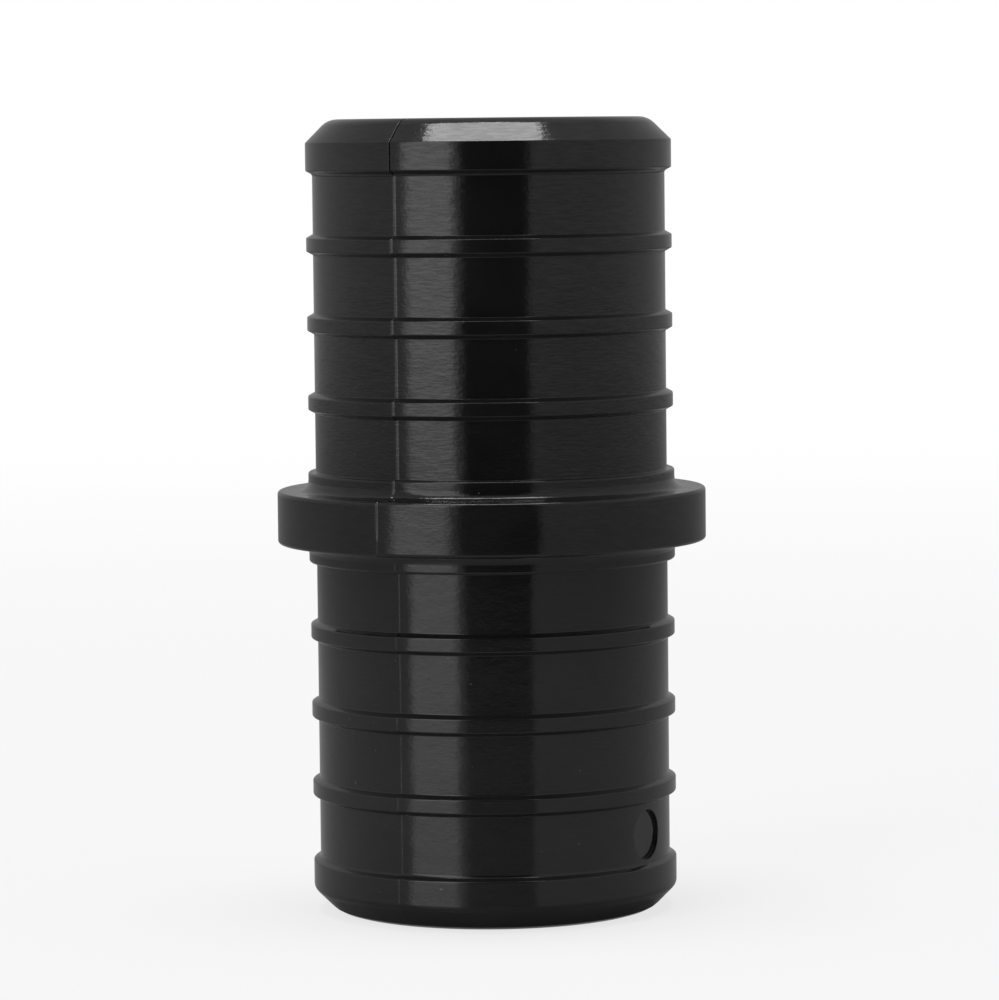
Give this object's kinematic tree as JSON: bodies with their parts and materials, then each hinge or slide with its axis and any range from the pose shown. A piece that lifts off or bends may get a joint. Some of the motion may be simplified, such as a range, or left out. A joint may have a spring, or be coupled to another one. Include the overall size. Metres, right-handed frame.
{
  "type": "insert pipe coupling",
  "caption": "Straight moulded insert coupling for plastic water tube: two ribbed spigots, a middle stop flange and a straight through bore.",
  "frame": {"origin": "centre of the stop flange, on the bore axis, halfway between the two end faces", "axes": "+Z along the bore axis towards one end; -Y faces the viewer, with the mould's parting plane 32.5 degrees to the left of it"},
  "size_m": [0.0256, 0.0256, 0.0472],
  "materials": {
    "black_polymer": "satin"
  },
  "bodies": {
    "root": {"coupling_body": "black_polymer"}
  },
  "joints": []
}
